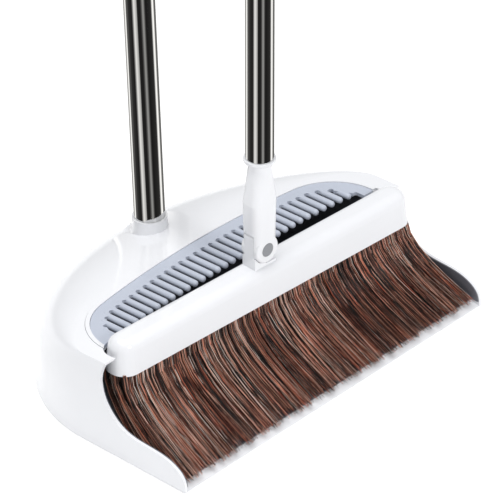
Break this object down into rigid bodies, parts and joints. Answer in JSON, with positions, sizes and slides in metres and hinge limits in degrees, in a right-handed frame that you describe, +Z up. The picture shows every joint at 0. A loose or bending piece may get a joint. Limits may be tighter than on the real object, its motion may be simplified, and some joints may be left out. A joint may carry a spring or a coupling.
{
  "type": "dust pan and brush set",
  "caption": "Long-handled dust pan with a bristle-cleaning comb in its hood, and a folding-handle broom that stands in the pan's mouth.",
  "frame": {"origin": "centre of the pan's footprint, on the floor", "axes": "+Z up, +X along the pan's lip, +Y from the lip towards the hood's back"},
  "size_m": [0.35, 0.2522, 0.992],
  "materials": {
    "white_plastic": "smooth glossy white",
    "slate_plastic": "satin dark slate",
    "comb_plastic": "satin light blue-grey",
    "soft_strip": "soft white",
    "steel_tube": "polished tube",
    "pin_grey": "satin grey",
    "screw_steel": "plain",
    "bristle_fibre": "dark brown fibres with copper tips",
    "block_plastic": "black",
    "grip_plastic": "soft white grip"
  },
  "bodies": {
    "pan": {"pan_shell": "white_plastic", "pan_liner": "slate_plastic", "lip_strip": "soft_strip", "comb_ring": "white_plastic", "comb_insert": "comb_plastic", "comb_screws": "screw_steel", "pan_socket": "white_plastic", "socket_screw": "screw_steel", "pan_pole_lower": "steel_tube", "pan_pole_coupler": "white_plastic", "pan_pole_upper": "steel_tube", "pan_grip": "grip_plastic", "pan_hang_cap": "white_plastic"},
    "broom_head": {"head_shell": "white_plastic", "bristle_block": "block_plastic", "block_screws": "screw_steel", "bristles": "bristle_fibre", "head_bracket": "white_plastic", "bracket_screws": "screw_steel"},
    "handle": {"handle_fork": "white_plastic", "hinge_pin": "screw_steel", "pin_caps": "pin_grey", "broom_pole_lower": "steel_tube", "broom_pole_coupler": "white_plastic", "broom_pole_upper": "steel_tube", "broom_grip": "grip_plastic", "broom_hang_cap": "white_plastic"}
  },
  "joints": [
    {"name": "broom_lift", "type": "slide", "parent": "pan", "child": "broom_head", "axis": [0, 0, 1], "range_m": [0, 0.3]},
    {"name": "handle_fold", "type": "hinge", "parent": "broom_head", "child": "handle", "pos_m": [0.0016, -0.0423, 0.105], "axis": [0.0523, 0.9986, 0], "range_deg": [0, 90]}
  ]
}
